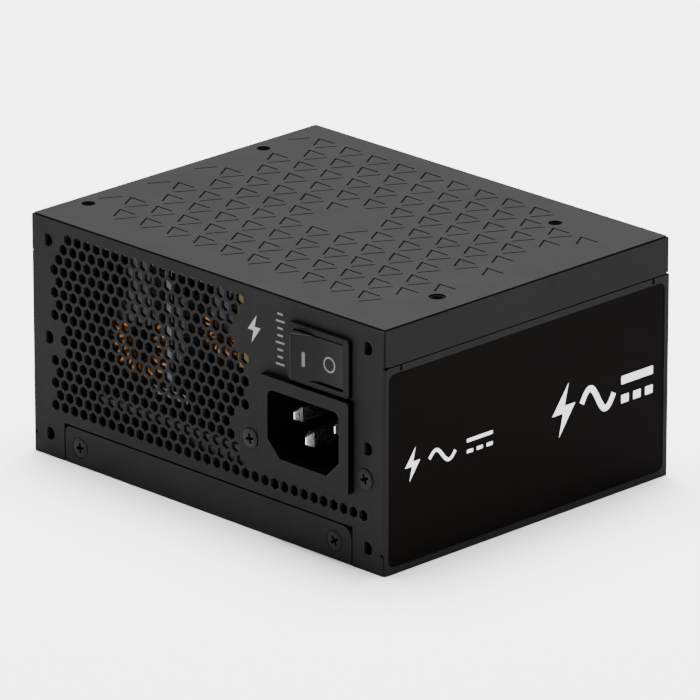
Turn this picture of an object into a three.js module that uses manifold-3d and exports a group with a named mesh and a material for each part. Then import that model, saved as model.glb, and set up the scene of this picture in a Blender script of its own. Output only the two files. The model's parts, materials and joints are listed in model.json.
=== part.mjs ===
// A modular SFX power supply unit: bent-sheet case, mains inlet, switch, fan and circuit boards.
// Millimetres, +Z up, standing on its fan cover, rear panel facing -Y. The origin is under the middle.

import * as THREE from "three";
import { mergeVertices } from "three/addons/utils/BufferGeometryUtils.js";
import Module from "manifold-3d";

const wasm = await Module();
wasm.setup();

// ---- Driving dimensions ----

// Case: the SFX form factor
const CASE_W = 125;
const CASE_D = 100;
const CASE_H = 63.5;
const SHEET = 1;
const SEAM = 0.3;
const FLANGE_H = 9.75;
const PLATE_BEND_R = 0.35;
const CORNER_BEND_R = 0.7;
const CORNER_GAP = 0.35;

// How far the rear and front fittings stand proud of the case, which centres the whole on the origin
const SWITCH_PROUD = 1.3;
const ROCKER_PROUD = 3.9;
const SOCKET_PROUD = 1.1;
const CASE_SHIFT_Y = (ROCKER_PROUD - SOCKET_PROUD - CASE_D) / 2;

// Rear flap of the fan cover, and the tab of the rear panel behind it
const FLAP_LEFT = -50.75;
const FLAP_RIGHT = 51.1;
const FLAP_GAP = 0.45;
const FLAP_SCREW_X = [-45.4, 45.25];
const FLAP_SCREW_Z = 4.9;

// Small round reliefs where bends meet, a slit below the lower ones, and slots in the top of the side walls
const RELIEF_R = 0.5;
const LOW_RELIEF = { x: 61.5, z: 5.3 };
const SLIT = { x: 62.1, w: 0.25, deep: 0.5 };
const SLOT = { y: [5.7, 94.3], w: 0.8, h: 1.4 };

// Mounting holes: three on each side of the rear panel, flattened on the left
const MOUNT_X = 56.5;
const MOUNT_Z = [6, 31.75, 57.5];
const MOUNT_HOLE_R = 1.75;
const MOUNT_FLAT = 0.95;

// Vent: pointy-top hexagons; each row has its first hole's x and its number of holes
const VENT_HOLE = 2.6;
const VENT_PITCH_X = 3.42;
const VENT_PITCH_Z = 3;
const VENT_TOP_Z = 59.2;
const VENT_COLUMN_0 = -54.2;
const VENT_ROWS = [
  [3, 19], [2, 19], [1, 19], [0, 19], [1, 19], [0, 21], [1, 20], [0, 21],
  [3, 19], [2, 20], [3, 18], [0, 19], [1, 19], [0, 20], [1, 20], [0, 33],
];

// Mains inlet and power switch, by their centres on the rear panel
const INLET = { x: 36.4, z: 30.75, w: 31.3, h: 23.9, proud: 2 };
const INLET_MOUTH = { w: 24.6, h: 17.1, corner: 4.3, round: 1.8, depth: 16 };
const INLET_BODY = { w: 27.6, h: 20.2, depth: 20 };
const INLET_SCREW = { x: [16.2, 56], z: 23.9 };
const SWITCH = { x: 41, z: 50.9, w: 21, h: 15 };
const SWITCH_BODY = { w: 19.2, h: 13.2, depth: 17 };
const ROCKER = { h: 11.6, tilt: 11 };
const BEZEL_R = 1;

// Fan
const FAN_SIZE = 92;
const FAN_THICK = 15;
const FAN_HOLE_SPACING = 82.5;
const FAN_BORE_R = 44.4;
const FAN_BLADE_R = 43.2;
const HUB_R = 18.5;
const BLADES = 9;
const RECESS = 92.6;
const RECESS_DEPTH = 2.6;

// Boards
const BOARD = 1.6;
const BOARD_Z = CASE_H - SHEET - 5.5;
const STANDOFF_R = 3;

// Right and left labels
const LABEL = { y0: 1.3, y1: 98.5, z0: 1.8, z1: 51.7, corner: 2, thick: 0.15 };

// Sides of round solids, and half the steps of a quarter arc in an outline
const CIRCLE = 20;
const FAN_CIRCLE = 32;
const SMALL_CIRCLE = 12;
const ARC_STEPS = 2;

// ---- Shape helpers ----

const group = new THREE.Group();
group.position.y = CASE_SHIFT_Y;

const paint = (color, roughness, metalness) => new THREE.MeshStandardMaterial({ color, roughness, metalness });
const darkPaint = paint(0x2f2f30, 0.6, 0.3);
const blackPlastic = paint(0x121213, 0.55, 0);
const glossPlastic = paint(0x0c0c0d, 0.25, 0);
const steel = paint(0xb9babc, 0.35, 0.9);
const brass = paint(0xc8a860, 0.35, 0.9);
const aluminium = paint(0xa9abad, 0.45, 0.85);
const copper = paint(0xb8692b, 0.35, 0.7);
const ferrite = paint(0x3a3b3d, 0.7, 0.1);
const boardGreen = paint(0x1c3a26, 0.6, 0);
const yellowFilm = paint(0xc9a227, 0.5, 0);
const blackSleeve = paint(0x1b1c20, 0.45, 0);
const labelFilm = paint(0x130e0d, 0.5, 0);

function add(name, shape, material) {
  const geometry = shape instanceof wasm.Manifold ? fromSolid(shape) : shape;
  const mesh = new THREE.Mesh(geometry, material);
  mesh.name = name;
  group.add(mesh);
}

function toSolid(geometry) {
  const bare = geometry.clone();
  bare.deleteAttribute("normal");
  bare.deleteAttribute("uv");
  const merged = mergeVertices(bare, 1e-5);
  return new wasm.Manifold(new wasm.Mesh({
    numProp: 3,
    vertProperties: new Float32Array(merged.attributes.position.array),
    triVerts: new Uint32Array(merged.index.array),
  }));
}

function fromSolid(solid) {
  const mesh = solid.getMesh();
  const geometry = new THREE.BufferGeometry();
  geometry.setAttribute("position", new THREE.BufferAttribute(new Float32Array(mesh.vertProperties), 3));
  geometry.setIndex(new THREE.BufferAttribute(new Uint32Array(mesh.triVerts), 1));
  return geometry;
}

const join = (...solids) => solids.reduce((whole, next) => whole.add(next));

const cut = (solid, ...tools) => tools.reduce((rest, tool) => rest.subtract(tool), solid);

// A box between two corners
function box(x0, x1, y0, y1, z0, z1) {
  const geometry = new THREE.BoxGeometry(x1 - x0, y1 - y0, z1 - z0);
  geometry.translate((x0 + x1) / 2, (y0 + y1) / 2, (z0 + z1) / 2);
  return toSolid(geometry);
}

// A cylinder or cone along one axis, from one end's place on that axis to the other's
function rod(axis, radius, from, to, a, b, sides = CIRCLE, endRadius = radius) {
  const geometry = new THREE.CylinderGeometry(endRadius, radius, to - from, sides);
  const middle = (from + to) / 2;
  if (axis === "x") {
    geometry.rotateZ(-Math.PI / 2).translate(middle, a, b);
  } else if (axis === "y") {
    geometry.translate(a, middle, b);
  } else {
    geometry.rotateX(Math.PI / 2).translate(a, b, middle);
  }
  return toSolid(geometry);
}

// A flat outline extruded along +Z from z0 to z1
function plate(outline, z0, z1) {
  const settings = { depth: z1 - z0, bevelEnabled: false, curveSegments: ARC_STEPS };
  const geometry = new THREE.ExtrudeGeometry(outline, settings);
  geometry.translate(0, 0, z0);
  return geometry;
}

// The same outline drawn in X and Z, extruded along +Y from y0 to y1
function wall(outline, y0, y1) {
  return plate(outline, -y1, -y0).rotateX(Math.PI / 2);
}

// The same outline drawn in Y and Z, extruded along +X from x0 to x1
function sideWall(outline, x0, x1) {
  return plate(outline, x0, x1).rotateX(Math.PI / 2).rotateZ(Math.PI / 2);
}

function outlineOf(points) {
  return new THREE.Shape(points.map(([a, b]) => new THREE.Vector2(a, b)));
}

function roundedRect(a0, a1, b0, b1, r) {
  const shape = new THREE.Shape();
  shape.moveTo(a0 + r, b0);
  shape.lineTo(a1 - r, b0);
  shape.absarc(a1 - r, b0 + r, r, -Math.PI / 2, 0);
  shape.lineTo(a1, b1 - r);
  shape.absarc(a1 - r, b1 - r, r, 0, Math.PI / 2);
  shape.lineTo(a0 + r, b1);
  shape.absarc(a0 + r, b1 - r, r, Math.PI / 2, Math.PI);
  shape.lineTo(a0, b0 + r);
  shape.absarc(a0 + r, b0 + r, r, Math.PI, 1.5 * Math.PI);
  return shape;
}

// A solid turned about a line along Z through (x, y), from radius and height pairs that close on themselves
function turned(profile, x, y, sides = CIRCLE) {
  const points = profile.map(([r, z]) => new THREE.Vector2(r, z));
  const geometry = new THREE.LatheGeometry(points, sides);
  geometry.rotateX(Math.PI / 2).translate(x, y, 0);
  return toSolid(geometry);
}

// ---- Case ----

const HALF_W = CASE_W / 2;
const PANEL_HALF = HALF_W - SHEET - SEAM;
const FLAT_HALF = HALF_W - CORNER_BEND_R;
const WALL_TOP = CASE_H - FLANGE_H - SEAM;
const TAB_BOTTOM = 1.5;
const TAB_TOP = FLANGE_H + FLAP_GAP + 1.8;
const SCREW_HOLE_R = 1.6;
const SHANK_R = 1.3;
const HEAD_R = 2.6;
const SEAT_DEPTH = 0.05;
const STANDOFFS = [[-57.5, 76.3], [-57.1, 14.6], [35.8, 86.8], [53.8, 26.7]];
const HALF_TURN = Math.PI;

// Outline of a bent channel: two legs down from a top plate, with rounded outer bends
function channel(a0, a1, top, legEnd) {
  const shape = new THREE.Shape();
  shape.moveTo(a0, legEnd);
  shape.lineTo(a0 + SHEET, legEnd);
  shape.lineTo(a0 + SHEET, top - SHEET);
  shape.lineTo(a1 - SHEET, top - SHEET);
  shape.lineTo(a1 - SHEET, legEnd);
  shape.lineTo(a1, legEnd);
  shape.lineTo(a1, top - PLATE_BEND_R);
  shape.absarc(a1 - PLATE_BEND_R, top - PLATE_BEND_R, PLATE_BEND_R, 0, HALF_TURN / 2);
  shape.lineTo(a0 + PLATE_BEND_R, top);
  shape.absarc(a0 + PLATE_BEND_R, top - PLATE_BEND_R, PLATE_BEND_R, HALF_TURN / 2, HALF_TURN);
  shape.lineTo(a0, legEnd);
  return shape;
}

// The same channel with its legs pointing up from a bottom plate
function upturned(a0, a1, legEnd) {
  const points = channel(-a1, -a0, 0, -legEnd).getPoints(ARC_STEPS);
  return new THREE.Shape(points.map((point) => new THREE.Vector2(-point.x, -point.y)));
}

function hexagon(x, z, flats) {
  const shape = new THREE.Shape();
  for (let corner = 0; corner < 6; corner += 1) {
    const angle = (corner + 0.5) * HALF_TURN / 3;
    const reach = flats / Math.sqrt(3);
    const point = [x + reach * Math.cos(angle), z + reach * Math.sin(angle)];
    if (corner === 0) shape.moveTo(...point);
    else shape.lineTo(...point);
  }
  shape.closePath();
  return shape;
}

function ventCutter() {
  const holes = VENT_ROWS.flatMap(([first, count], row) =>
    Array.from({ length: count }, (_, hole) => hexagon(
      VENT_COLUMN_0 + (first / 2 + hole) * VENT_PITCH_X,
      VENT_TOP_Z - row * VENT_PITCH_Z,
      VENT_HOLE,
    )));
  return toSolid(wall(holes, -1, SHEET + 1));
}

// A round hole through the rear panel with a flat on its left side
function mountHole(x, z) {
  const round = rod("y", MOUNT_HOLE_R, -1, SHEET + 1, x, z, SMALL_CIRCLE);
  return cut(round, box(x - 3, x - MOUNT_FLAT, -2, SHEET + 2, z - 3, z + 3));
}

// Tab behind a flap of the fan cover, joggled inwards so that the flap lies flush
function flapTab(inwards) {
  const at = (depth) => (inwards > 0 ? depth : CASE_D - depth);
  const span = (d0, d1) => [Math.min(at(d0), at(d1)), Math.max(at(d0), at(d1))];
  const inset = 2;
  const left = FLAP_LEFT + inset;
  const right = FLAP_RIGHT - inset;
  const joggle = box(left, right, ...span(SHEET / 2, 2 * SHEET + SEAM), FLANGE_H + FLAP_GAP + 0.2, TAB_TOP);
  const tab = box(left, right, ...span(SHEET + SEAM, 2 * SHEET + SEAM), TAB_BOTTOM, TAB_TOP);
  const holes = FLAP_SCREW_X.map((x) => rod("y", SCREW_HOLE_R, ...span(-1, 4), x, FLAP_SCREW_Z, SMALL_CIRCLE));
  return cut(join(joggle, tab), ...holes);
}

// Output sockets: two rows of polarised headers; columns of 4.2 mm pitch, two circuits high
const SOCKET_PITCH = 4.2;
const SOCKET_H = 9.6;
const SOCKET_ROW_Z = [46.8, 30.8];
const SOCKETS = [
  { name: "socket_main", x: -30, row: 0, columns: 12 },
  { name: "socket_cpu_1", x: 12, row: 0, columns: 4 },
  { name: "socket_cpu_2", x: 35, row: 0, columns: 4 },
  { name: "socket_gpu", x: -40, row: 1, columns: 6 },
  { name: "socket_drive_1", x: -12, row: 1, columns: 3 },
  { name: "socket_drive_2", x: 8, row: 1, columns: 3 },
];
const socketWidth = (columns) => columns * SOCKET_PITCH + 1.6;

function socketCutter({ x, row, columns }) {
  const half = socketWidth(columns) / 2 + SEAM;
  const z = SOCKET_ROW_Z[row];
  return box(x - half, x + half, CASE_D - 3, CASE_D + 1, z - SOCKET_H / 2 - SEAM, z + SOCKET_H / 2 + SEAM);
}

const BODY_GAP = 0.3;
const LABEL_POCKET = 0.3;

// Round reliefs: at the corners of the top plate, at the ends of each seam under a flange, and low at the rear
function reliefs() {
  const through = [HALF_W - 1.6, HALF_W + 1];
  const inset = 0.7;
  const right = [
    ...[0, CASE_D].map((y) => rod("x", RELIEF_R, ...through, y, CASE_H, SMALL_CIRCLE)),
    ...[inset, CASE_D - inset].map((y) => rod("x", RELIEF_R, ...through, y, WALL_TOP + SEAM / 2, SMALL_CIRCLE)),
    rod("y", RELIEF_R, -1, SHEET + 1, LOW_RELIEF.x, LOW_RELIEF.z, SMALL_CIRCLE),
    box(SLIT.x - SLIT.w / 2, SLIT.x + SLIT.w / 2, -1, SLIT.deep, -1, LOW_RELIEF.z),
  ];
  return right.flatMap((tool) => [tool, tool.mirror([1, 0, 0])]);
}

// Side wall, bent forward from the rear panel's right edge
function rightWall() {
  const outline = new THREE.Shape();
  outline.moveTo(FLAT_HALF - SHEET, 0);
  outline.lineTo(FLAT_HALF, 0);
  outline.absarc(FLAT_HALF, CORNER_BEND_R, CORNER_BEND_R, -HALF_TURN / 2, 0);
  outline.lineTo(HALF_W, CASE_D);
  outline.lineTo(HALF_W - SHEET, CASE_D);
  outline.lineTo(HALF_W - SHEET, SHEET);
  outline.lineTo(FLAT_HALF - SHEET, SHEET);
  outline.closePath();
  const half = SLOT.w / 2;
  const slots = SLOT.y.map((y) => box(HALF_W - 2, HALF_W + 1, y - half, y + half, WALL_TOP - SLOT.h, CASE_H));
  return cut(toSolid(plate(outline, 0, WALL_TOP)), labelPocket(), ...slots);
}

function labelPocket() {
  const outline = roundedRect(LABEL.y0, LABEL.y1, LABEL.z0, LABEL.z1, LABEL.corner);
  return toSolid(sideWall(outline, HALF_W - LABEL_POCKET, HALF_W + 1));
}

// Shallow seats in the rear panel's outside, under everything that stands on it
function rearSeats() {
  const margin = 0.2;
  return [
    blockOf(INLET, INLET.w + margin, INLET.h + margin, BEZEL_R, -1, SEAT_DEPTH),
    blockOf(SWITCH, SWITCH.w + margin, SWITCH.h + margin, BEZEL_R, -1, SEAT_DEPTH),
    ...INLET_SCREW.x.map((x) => rod("y", HEAD_R + margin, -1, SEAT_DEPTH, x, INLET_SCREW.z)),
  ];
}

function baseShell() {
  const wide = HALF_W - CORNER_GAP;
  const wallRight = rightWall();
  const sheets = join(
    toSolid(sideWall(channel(0, CASE_D, CASE_H, 0), -PANEL_HALF, PANEL_HALF)),
    toSolid(sideWall(channel(0, CASE_D, CASE_H, CASE_H - FLANGE_H), -wide, wide)),
    toSolid(wall(channel(-HALF_W, HALF_W, CASE_H, CASE_H - FLANGE_H), CORNER_GAP, CASE_D - CORNER_GAP)),
    box(-FLAT_HALF, FLAT_HALF, 0, SHEET, 0, CASE_H - SHEET),
    wallRight,
    wallRight.mirror([1, 0, 0]),
  );
  const notch = (y0, y1) => box(FLAP_LEFT - FLAP_GAP, FLAP_RIGHT + FLAP_GAP, y0, y1, -1, FLANGE_H + FLAP_GAP);
  const bodyHole = (at, w, h) => {
    const halfW = w / 2 + BODY_GAP;
    const halfH = h / 2 + BODY_GAP;
    return box(at.x - halfW, at.x + halfW, -1, SHEET + 1, at.z - halfH, at.z + halfH);
  };
  const sheet = cut(
    sheets,
    notch(-1, SHEET + 0.01),
    notch(CASE_D - SHEET - 0.01, CASE_D + 1),
    ventCutter(),
    ...MOUNT_Z.flatMap((z) => [mountHole(-MOUNT_X, z), mountHole(MOUNT_X, z)]),
    bodyHole(INLET, INLET_BODY.w, INLET_BODY.h),
    bodyHole(SWITCH, SWITCH_BODY.w, SWITCH_BODY.h),
    ...INLET_SCREW.x.map((x) => rod("y", SCREW_HOLE_R, -1, SHEET + 1, x, INLET_SCREW.z, SMALL_CIRCLE)),
    ...SOCKETS.map(socketCutter),
    ...reliefs(),
    ...rearSeats(),
  );
  const upright = (r, z0, z1) => STANDOFFS.map(([x, y]) => rod("z", r, z0, z1, x, y, SMALL_CIRCLE));
  const standoffs = upright(STANDOFF_R, BOARD_Z + BOARD, CASE_H - SHEET / 2);
  const standoffHoles = upright(SCREW_HOLE_R, BOARD_Z, CASE_H + 1);
  return cut(join(sheet, flapTab(1), flapTab(-1), ...standoffs), ...standoffHoles);
}

const FAN_Y = CASE_D / 2;
const FAN_SCREWS = [[-1, -1], [1, -1], [-1, 1], [1, 1]].map(([a, b]) =>
  [a * FAN_HOLE_SPACING / 2, FAN_Y + b * FAN_HOLE_SPACING / 2]);
const FAN_Z = RECESS_DEPTH + SHEET + 0.3;
const FAN_SCREW_HOLE_R = 2.3;

// A rounded square block about the fan's axis
function fanSquare(size, r, z0, z1) {
  const half = size / 2;
  return toSolid(plate(roundedRect(-half, half, FAN_Y - half, FAN_Y + half, r), z0, z1));
}

// Takes a flap's top corner off, leaving an arc
function cornerCutter(x, side, r, y0, y1) {
  const corner = box(Math.min(x, x + side * r), Math.max(x, x + side * r), y0, y1, FLANGE_H - r, FLANGE_H + 1);
  return cut(corner, rod("y", r, y0 - 1, y1 + 1, x + side * r, FLANGE_H - r));
}

// Countersink and hole through a flap, for one screw; the outside is at y = face, inwards is +1 or -1
function countersink(x, face, inwards, mouth, hole) {
  const reach = SHEET + 0.01;
  const radii = inwards > 0 ? [mouth, hole] : [hole, mouth];
  const ends = inwards > 0 ? [face - 0.01, face + reach] : [face - reach, face + 0.01];
  return rod("y", radii[0], ...ends, x, FLAP_SCREW_Z, CIRCLE, radii[1]);
}

// Bottom plate with a dished seat for the fan's guard, and a flap bent up at the rear and at the front
function fanCover() {
  const floor = box(-PANEL_HALF, PANEL_HALF, SHEET + SEAM, CASE_D - SHEET - SEAM, 0, SHEET);
  const flaps = toSolid(sideWall(upturned(0, CASE_D, FLANGE_H), FLAP_LEFT, FLAP_RIGHT));
  const opening = fanSquare(RECESS, 6, -1, RECESS_DEPTH);
  const dish = fanSquare(RECESS + 2 * SHEET, 6 + SHEET, 0, RECESS_DEPTH + SHEET);
  const cornerCuts = [[-1, SHEET + 1], [CASE_D - SHEET - 1, CASE_D + 1]].flatMap(([y0, y1]) => [
    cornerCutter(FLAP_LEFT, 1, 1.7, y0, y1),
    cornerCutter(FLAP_RIGHT, -1, 3, y0, y1),
  ]);
  return cut(
    join(floor, flaps, dish),
    opening,
    rod("z", FAN_BORE_R, -1, RECESS_DEPTH + 2 * SHEET, 0, FAN_Y, FAN_CIRCLE),
    ...FAN_SCREWS.map(([x, y]) => rod("z", FAN_SCREW_HOLE_R, 0, RECESS_DEPTH + 2 * SHEET, x, y, SMALL_CIRCLE)),
    ...cornerCuts,
    ...FLAP_SCREW_X.flatMap((x) => [
      countersink(x, 0, 1, 2.9, SCREW_HOLE_R),
      countersink(x, CASE_D, -1, 2.9, SCREW_HOLE_R),
    ]),
  );
}

// A countersunk screw whose head lies flush in a flap
function coverScrew(x, face, inwards) {
  const length = 3.6;
  const tip = face + inwards * length;
  const ends = [face + inwards, tip].sort((a, b) => a - b);
  const head = countersink(x, face, inwards, HEAD_R, SHANK_R);
  return join(head, rod("y", SHANK_R, ...ends, x, FLAP_SCREW_Z));
}

// ---- Mains inlet and switch ----

const PIN = { w: 2, h: 4, side: 7, rise: 2, tip: 1.9, earthTip: -1, back: 27 };
const PIN_GAP = 0.3;
const INLET_PINS = [
  { name: "inlet_pin_live", x: INLET.x - PIN.side, z: INLET.z + PIN.rise, tip: PIN.tip },
  { name: "inlet_pin_neutral", x: INLET.x + PIN.side, z: INLET.z + PIN.rise, tip: PIN.tip },
  { name: "inlet_pin_earth", x: INLET.x, z: INLET.z - PIN.rise, tip: PIN.earthTip },
];

function pinBox(pin, y0, y1, gap) {
  const halfW = PIN.w / 2 + gap;
  const halfH = PIN.h / 2 + gap;
  return box(pin.x - halfW, pin.x + halfW, y0, y1, pin.z - halfH, pin.z + halfH);
}

function blockOf({ x, z }, w, h, r, y0, y1) {
  return toSolid(wall(roundedRect(x - w / 2, x + w / 2, z - h / 2, z + h / 2, r), y0, y1));
}

// The mouth: a rectangle with rounded upper corners, whose two lower corners are cut off
function inletMouth() {
  const { x, z } = INLET;
  const { corner, round } = INLET_MOUTH;
  const halfW = INLET_MOUTH.w / 2;
  const halfH = INLET_MOUTH.h / 2;
  const outline = new THREE.Shape();
  outline.moveTo(x - halfW + corner, z - halfH);
  outline.lineTo(x + halfW - corner, z - halfH);
  outline.lineTo(x + halfW, z - halfH + corner);
  outline.lineTo(x + halfW, z + halfH - round);
  outline.absarc(x + halfW - round, z + halfH - round, round, 0, HALF_TURN / 2);
  outline.lineTo(x - halfW + round, z + halfH);
  outline.absarc(x - halfW + round, z + halfH - round, round, HALF_TURN / 2, HALF_TURN);
  outline.lineTo(x - halfW, z - halfH + corner);
  outline.closePath();
  return toSolid(wall(outline, -INLET.proud - 1, INLET_MOUTH.depth));
}

function inletHousing() {
  return cut(
    join(
      blockOf(INLET, INLET.w, INLET.h, BEZEL_R, -INLET.proud, 0),
      blockOf(INLET, INLET_BODY.w, INLET_BODY.h, 1, -1, INLET_BODY.depth),
    ),
    inletMouth(),
    ...INLET_PINS.map((pin) => pinBox(pin, INLET_MOUTH.depth - 1, INLET_BODY.depth + 1, PIN_GAP)),
  );
}

// A screw whose low head rests on the panel's outside
function panelScrew(x, z) {
  const proud = 0.4;
  return join(rod("y", HEAD_R, -proud, 0, x, z), rod("y", SHANK_R, -proud / 2, 8, x, z, SMALL_CIRCLE));
}

const ROCKER_ROOM = { w: 17.2, h: 12.2, depth: 8 };
const ROCKER_FACE_REACH = 7.95;
const ROCKER_DROP = 1.2;
const TILT = THREE.MathUtils.degToRad(ROCKER.tilt);
const ROCKER_END_DROP = ROCKER_DROP + ROCKER_FACE_REACH * Math.tan(TILT);
const ROCKER_PIVOT_Y = ROCKER_FACE_REACH * Math.sin(TILT) + ROCKER_END_DROP * Math.cos(TILT) - ROCKER_PROUD;

function switchHousing() {
  const back = SWITCH_BODY.depth;
  const terminal = (side) => {
    const x = SWITCH.x + side * 6;
    return box(x - 0.4, x + 0.4, back - 1, back + 7, SWITCH.z - 3, SWITCH.z + 3);
  };
  const body = join(
    blockOf(SWITCH, SWITCH.w, SWITCH.h, BEZEL_R, -SWITCH_PROUD, 0),
    blockOf(SWITCH, SWITCH_BODY.w, SWITCH_BODY.h, 0.8, -1, back),
    terminal(-1),
    terminal(1),
  );
  return cut(body, blockOf(SWITCH, ROCKER_ROOM.w, ROCKER_ROOM.h, 0.5, -SWITCH_PROUD - 1, ROCKER_ROOM.depth));
}

// The rocker between its two stops: a shallow V outside, arcs about the pivot at its ends, a keel inside
function switchRocker() {
  const shape = new THREE.Shape();
  const endAngle = Math.atan2(ROCKER_END_DROP, ROCKER_FACE_REACH);
  const skirt = 0.3;
  shape.moveTo(0, -ROCKER_DROP);
  shape.lineTo(ROCKER_FACE_REACH, -ROCKER_END_DROP);
  shape.absarc(0, 0, Math.hypot(ROCKER_FACE_REACH, ROCKER_END_DROP), -endAngle, skirt);
  shape.lineTo(3, 5.5);
  shape.lineTo(-3, 5.5);
  shape.absarc(0, 0, Math.hypot(ROCKER_FACE_REACH, ROCKER_END_DROP), HALF_TURN - skirt, HALF_TURN + endAngle);
  shape.closePath();
  const geometry = plate(shape, -ROCKER.h / 2, ROCKER.h / 2);
  geometry.rotateZ(TILT).translate(SWITCH.x, ROCKER_PIVOT_Y, SWITCH.z);
  return toSolid(geometry);
}

// ---- Fan ----

const FAN_TOP = FAN_Z + FAN_THICK;
const SHAFT_R = 1.5;
const BEARING_BORE_R = 1.6;
const BEARING_R = 3;
const HUB_Z = FAN_Z + 0.8;
const HUB_TOP = FAN_TOP - 3;
const STRUT_THICK = 2;

function fanFrame() {
  const flange = 2.6;
  const middle = (FAN_Z + FAN_TOP) / 2;
  const tube = rod("z", FAN_BORE_R + 1.4, FAN_Z + 1, FAN_TOP - 1, 0, FAN_Y, FAN_CIRCLE);
  const shellOf = join(
    fanSquare(FAN_SIZE, 4, FAN_Z, FAN_Z + flange),
    tube,
    fanSquare(FAN_SIZE, 4, FAN_TOP - flange, FAN_TOP),
  );
  const bored = cut(shellOf, rod("z", FAN_BORE_R, FAN_Z - 1, FAN_TOP + 1, 0, FAN_Y, FAN_CIRCLE));
  const strut = (turn) => {
    const bar = new THREE.BoxGeometry(FAN_BORE_R - 12, 3.5, STRUT_THICK);
    bar.translate((FAN_BORE_R + 13.4) / 2, 0, 0).rotateZ(turn).translate(0, FAN_Y, FAN_TOP - STRUT_THICK / 2);
    return toSolid(bar);
  };
  const whole = join(
    bored,
    rod("z", 15, FAN_TOP - STRUT_THICK, FAN_TOP, 0, FAN_Y),
    rod("z", 5.2, FAN_TOP - 4.5, FAN_TOP - 1, 0, FAN_Y),
    ...[0, 1, 2].map((index) => strut(0.4 + index * 2 * HALF_TURN / 3)),
  );
  return cut(
    whole,
    rod("z", BEARING_R + 0.3, middle - 4, FAN_TOP - 0.8, 0, FAN_Y),
    ...FAN_SCREWS.map(([x, y]) => rod("z", FAN_SCREW_HOLE_R, FAN_Z - 1, FAN_TOP + 1, x, y, SMALL_CIRCLE)),
  );
}

// One blade: a twisted, swept slab lofted through stations along its length
function blade(turn) {
  const stations = [
    { r: HUB_R - 0.8, pitch: 0.85, sweep: 0, chord: 12 },
    { r: 27, pitch: 0.68, sweep: 0.1, chord: 16 },
    { r: 35, pitch: 0.54, sweep: 0.24, chord: 20 },
    { r: FAN_BLADE_R, pitch: 0.44, sweep: 0.4, chord: 23 },
  ];
  const middle = (HUB_Z + HUB_TOP) / 2;
  const half = 0.6;
  const limit = (FAN_TOP - STRUT_THICK - 0.8 - middle);
  const points = stations.flatMap(({ r, pitch, sweep, chord }) => {
    const rise = Math.min(Math.sin(pitch) * chord / 2, limit - half);
    const spread = Math.cos(pitch) * chord / 2 / r;
    const corner = (side, z) => {
      const angle = turn + sweep + side * spread;
      return [r * Math.cos(angle), FAN_Y + r * Math.sin(angle), middle + z];
    };
    return [
      corner(-1, -rise - half), corner(1, rise - half), corner(1, rise + half), corner(-1, -rise + half),
    ];
  });
  const faces = [0, 2, 1, 0, 3, 2];
  for (let station = 0; station < stations.length - 1; station += 1) {
    for (let side = 0; side < 4; side += 1) {
      const a = station * 4 + side;
      const b = station * 4 + (side + 1) % 4;
      faces.push(a, b, b + 4, a, b + 4, a + 4);
    }
  }
  const end = (stations.length - 1) * 4;
  faces.push(end, end + 1, end + 2, end, end + 2, end + 3);
  const geometry = new THREE.BufferGeometry();
  geometry.setAttribute("position", new THREE.Float32BufferAttribute(points.flat(), 3));
  geometry.setIndex(faces);
  return toSolid(geometry);
}

function fanRotor() {
  const wallThick = 1.5;
  const hub = turned([
    [SHAFT_R + 0.3, HUB_Z], [HUB_R - 0.8, HUB_Z], [HUB_R, HUB_Z + 0.8], [HUB_R, HUB_TOP],
    [HUB_R - wallThick, HUB_TOP], [HUB_R - wallThick, HUB_Z + wallThick], [SHAFT_R + 0.3, HUB_Z + wallThick],
    [SHAFT_R + 0.3, HUB_Z],
  ], 0, FAN_Y, 24);
  return join(hub, ...Array.from({ length: BLADES }, (_, index) => blade(index * 2 * HALF_TURN / BLADES)));
}

function fanStator() {
  const z0 = HUB_Z + 4;
  const z1 = HUB_Z + 9;
  const ring = cut(rod("z", 6, z0, z1, 0, FAN_Y), rod("z", BEARING_R + 0.3, z0 - 1, z1 + 1, 0, FAN_Y));
  const pole = (turn) => {
    const arm = new THREE.BoxGeometry(8, 3, z1 - z0).translate(9, 0, 0);
    const shoe = new THREE.BoxGeometry(1.6, 12, z1 - z0).translate(13, 0, 0);
    return [arm, shoe].map((piece) => toSolid(piece.rotateZ(turn).translate(0, FAN_Y, (z0 + z1) / 2)));
  };
  return join(ring, ...[0, 1, 2, 3].flatMap((index) => pole(index * HALF_TURN / 2)));
}

// Flush wire guard: rings of square wire, four spokes across them to eyelets at the screws
function fanGuard() {
  const wire = 0.7;
  const ringZ = 0.9;
  const spokeZ = ringZ + 0.8;
  const ringRadii = [9, 17.5, 26, 34.5, 43.2];
  const diamond = (r, z, half) => [[r - half, z], [r, z - half], [r + half, z], [r, z + half], [r - half, z]];
  const rings = ringRadii.map((r) => turned(diamond(r, ringZ, wire), 0, FAN_Y, r < 20 ? SMALL_CIRCLE : 24));
  const eyelets = FAN_SCREWS.map(([x, y]) => turned(diamond(3.1, spokeZ, 0.75), x, y, 10));
  const spokes = FAN_SCREWS.map(([x, y]) => {
    const inner = 9;
    const outer = Math.hypot(x, y - FAN_Y) - 3;
    const bar = new THREE.BoxGeometry(outer - inner, 1.3, 1.3).translate((outer + inner) / 2, 0, 0);
    bar.rotateZ(Math.atan2(y - FAN_Y, x)).translate(0, FAN_Y, spokeZ);
    return toSolid(bar);
  });
  return join(...rings, ...spokes, ...eyelets);
}

function fanScrew([x, y]) {
  return join(rod("z", 3, 0.1, 0.9, x, y, SMALL_CIRCLE), rod("z", 2, 0.5, FAN_Z + 9, x, y, SMALL_CIRCLE));
}

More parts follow.
